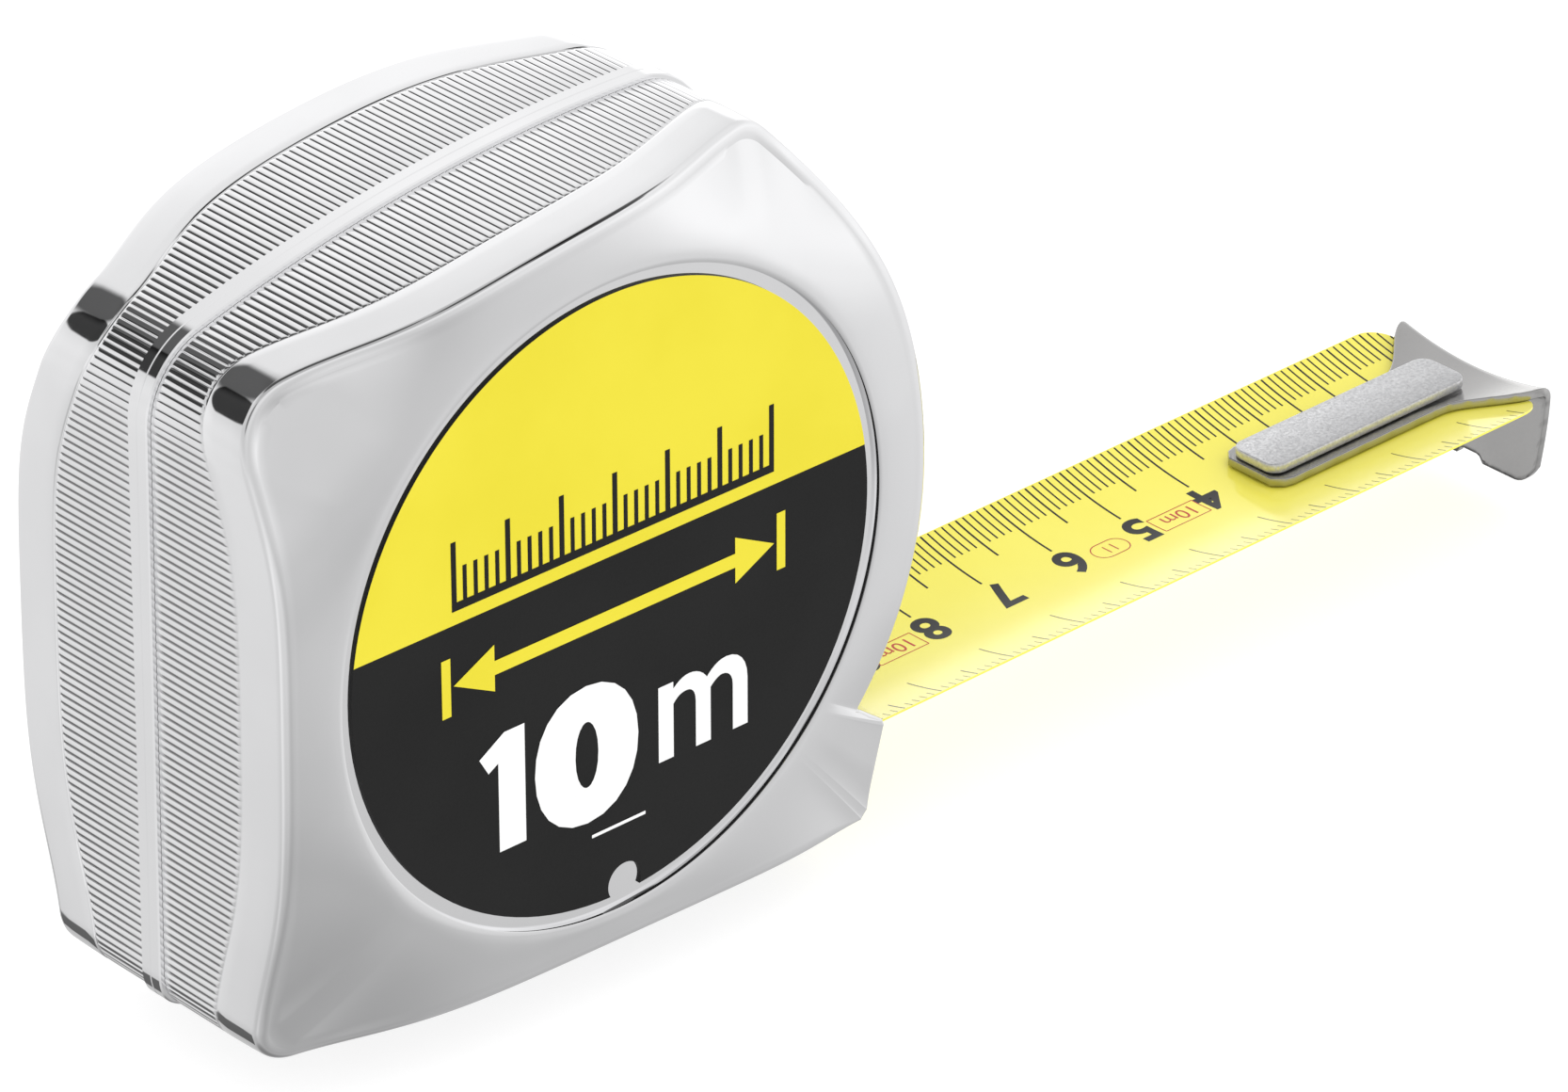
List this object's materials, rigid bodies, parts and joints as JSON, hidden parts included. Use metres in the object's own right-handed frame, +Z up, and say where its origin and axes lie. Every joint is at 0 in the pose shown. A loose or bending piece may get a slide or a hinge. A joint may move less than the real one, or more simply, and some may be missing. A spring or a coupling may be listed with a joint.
{
  "type": "tape measure",
  "caption": "Pocket tape measure: ribbed chrome case with a round label, spring reel, thumb lock and a hooked curved steel blade part way out",
  "frame": {"origin": "centre of the case's flat base, midway between the back and the front and between the two faces", "axes": "+X forward along the blade out of the mouth, +Y towards the face with the belt clip, +Z up from the base"},
  "size_m": [0.1826, 0.0488, 0.0832],
  "materials": {
    "chrome_shell": "moulded ABS with bright chrome plating, fine cross ribs on the rim",
    "label": "printed vinyl disc, yellow over black, satin laminate",
    "screw_steel": "black zinc plated steel",
    "zinc_steel": "zinc plated steel",
    "white_nylon": "natural nylon",
    "black_nylon": "moulded nylon",
    "black_rubber": "moulded rubber",
    "spring_steel": "nickel plated spring steel",
    "ivory_plastic": "moulded acetal",
    "yellow_blade": "spring steel enamelled yellow under a clear nylon film",
    "blued_spring": "blued spring steel",
    "black_plastic": "moulded plastic, fine spark grain",
    "matt_steel": "bead blasted zinc plate",
    "nickel_steel": "nickel plated stamped steel"
  },
  "bodies": {
    "case": {"case_right": "chrome_shell", "case_left": "chrome_shell", "label_right": "label", "label_left": "label", "case_screws": "screw_steel", "arbor": "zinc_steel", "reel_washers": "white_nylon", "mouth_guide": "black_nylon", "hook_bumper": "black_rubber", "belt_clip": "spring_steel", "clip_screw": "screw_steel", "power_spring": "blued_spring", "blade_lead": "yellow_blade", "blade": "yellow_blade"},
    "reel": {"reel": "ivory_plastic", "reel_cover": "ivory_plastic", "blade_coil": "yellow_blade"},
    "lock": {"lock_button": "black_plastic", "lock_carriage": "black_nylon", "lock_rivets": "zinc_steel", "lock_spring": "spring_steel"},
    "brake": {"brake_shoe": "black_nylon", "brake_pads": "black_rubber"},
    "blade_end": {"blade_tip": "yellow_blade", "hook_plate": "matt_steel", "hook_rivets": "zinc_steel"},
    "hook": {"end_hook": "nickel_steel"}
  },
  "joints": [
    {"name": "reel_spin", "type": "hinge", "parent": "case", "child": "reel", "pos_m": [0, 0, 0.038], "axis": [0, 1, 0], "range_deg": [0, 181], "deforming": ["power_spring"]},
    {"name": "blade_slide", "type": "slide", "parent": "case", "child": "blade_end", "axis": [0.9997, 0, 0.0262], "range_m": [-0.1012, 0], "deforming": ["blade", "blade_lead"]},
    {"name": "hook_play", "type": "slide", "parent": "blade_end", "child": "hook", "axis": [0.9997, 0, 0.0262], "range_m": [-0.001, 0]},
    {"name": "lock_press", "type": "hinge", "parent": "case", "child": "lock", "pos_m": [-0.015, 0, 0.038], "axis": [0, 1, 0], "range_deg": [0, 8.2], "deforming": ["lock_spring"]},
    {"name": "brake_drop", "type": "slide", "parent": "case", "child": "brake", "axis": [0, 0, -1], "range_m": [0, 0.00121]}
  ],
  "couplings": [
    {"joint": "blade_slide", "follows": "reel_spin", "m_per_rad": -0.032},
    {"joint": "brake_drop", "follows": "lock_press", "m_per_rad": 0.008385}
  ]
}
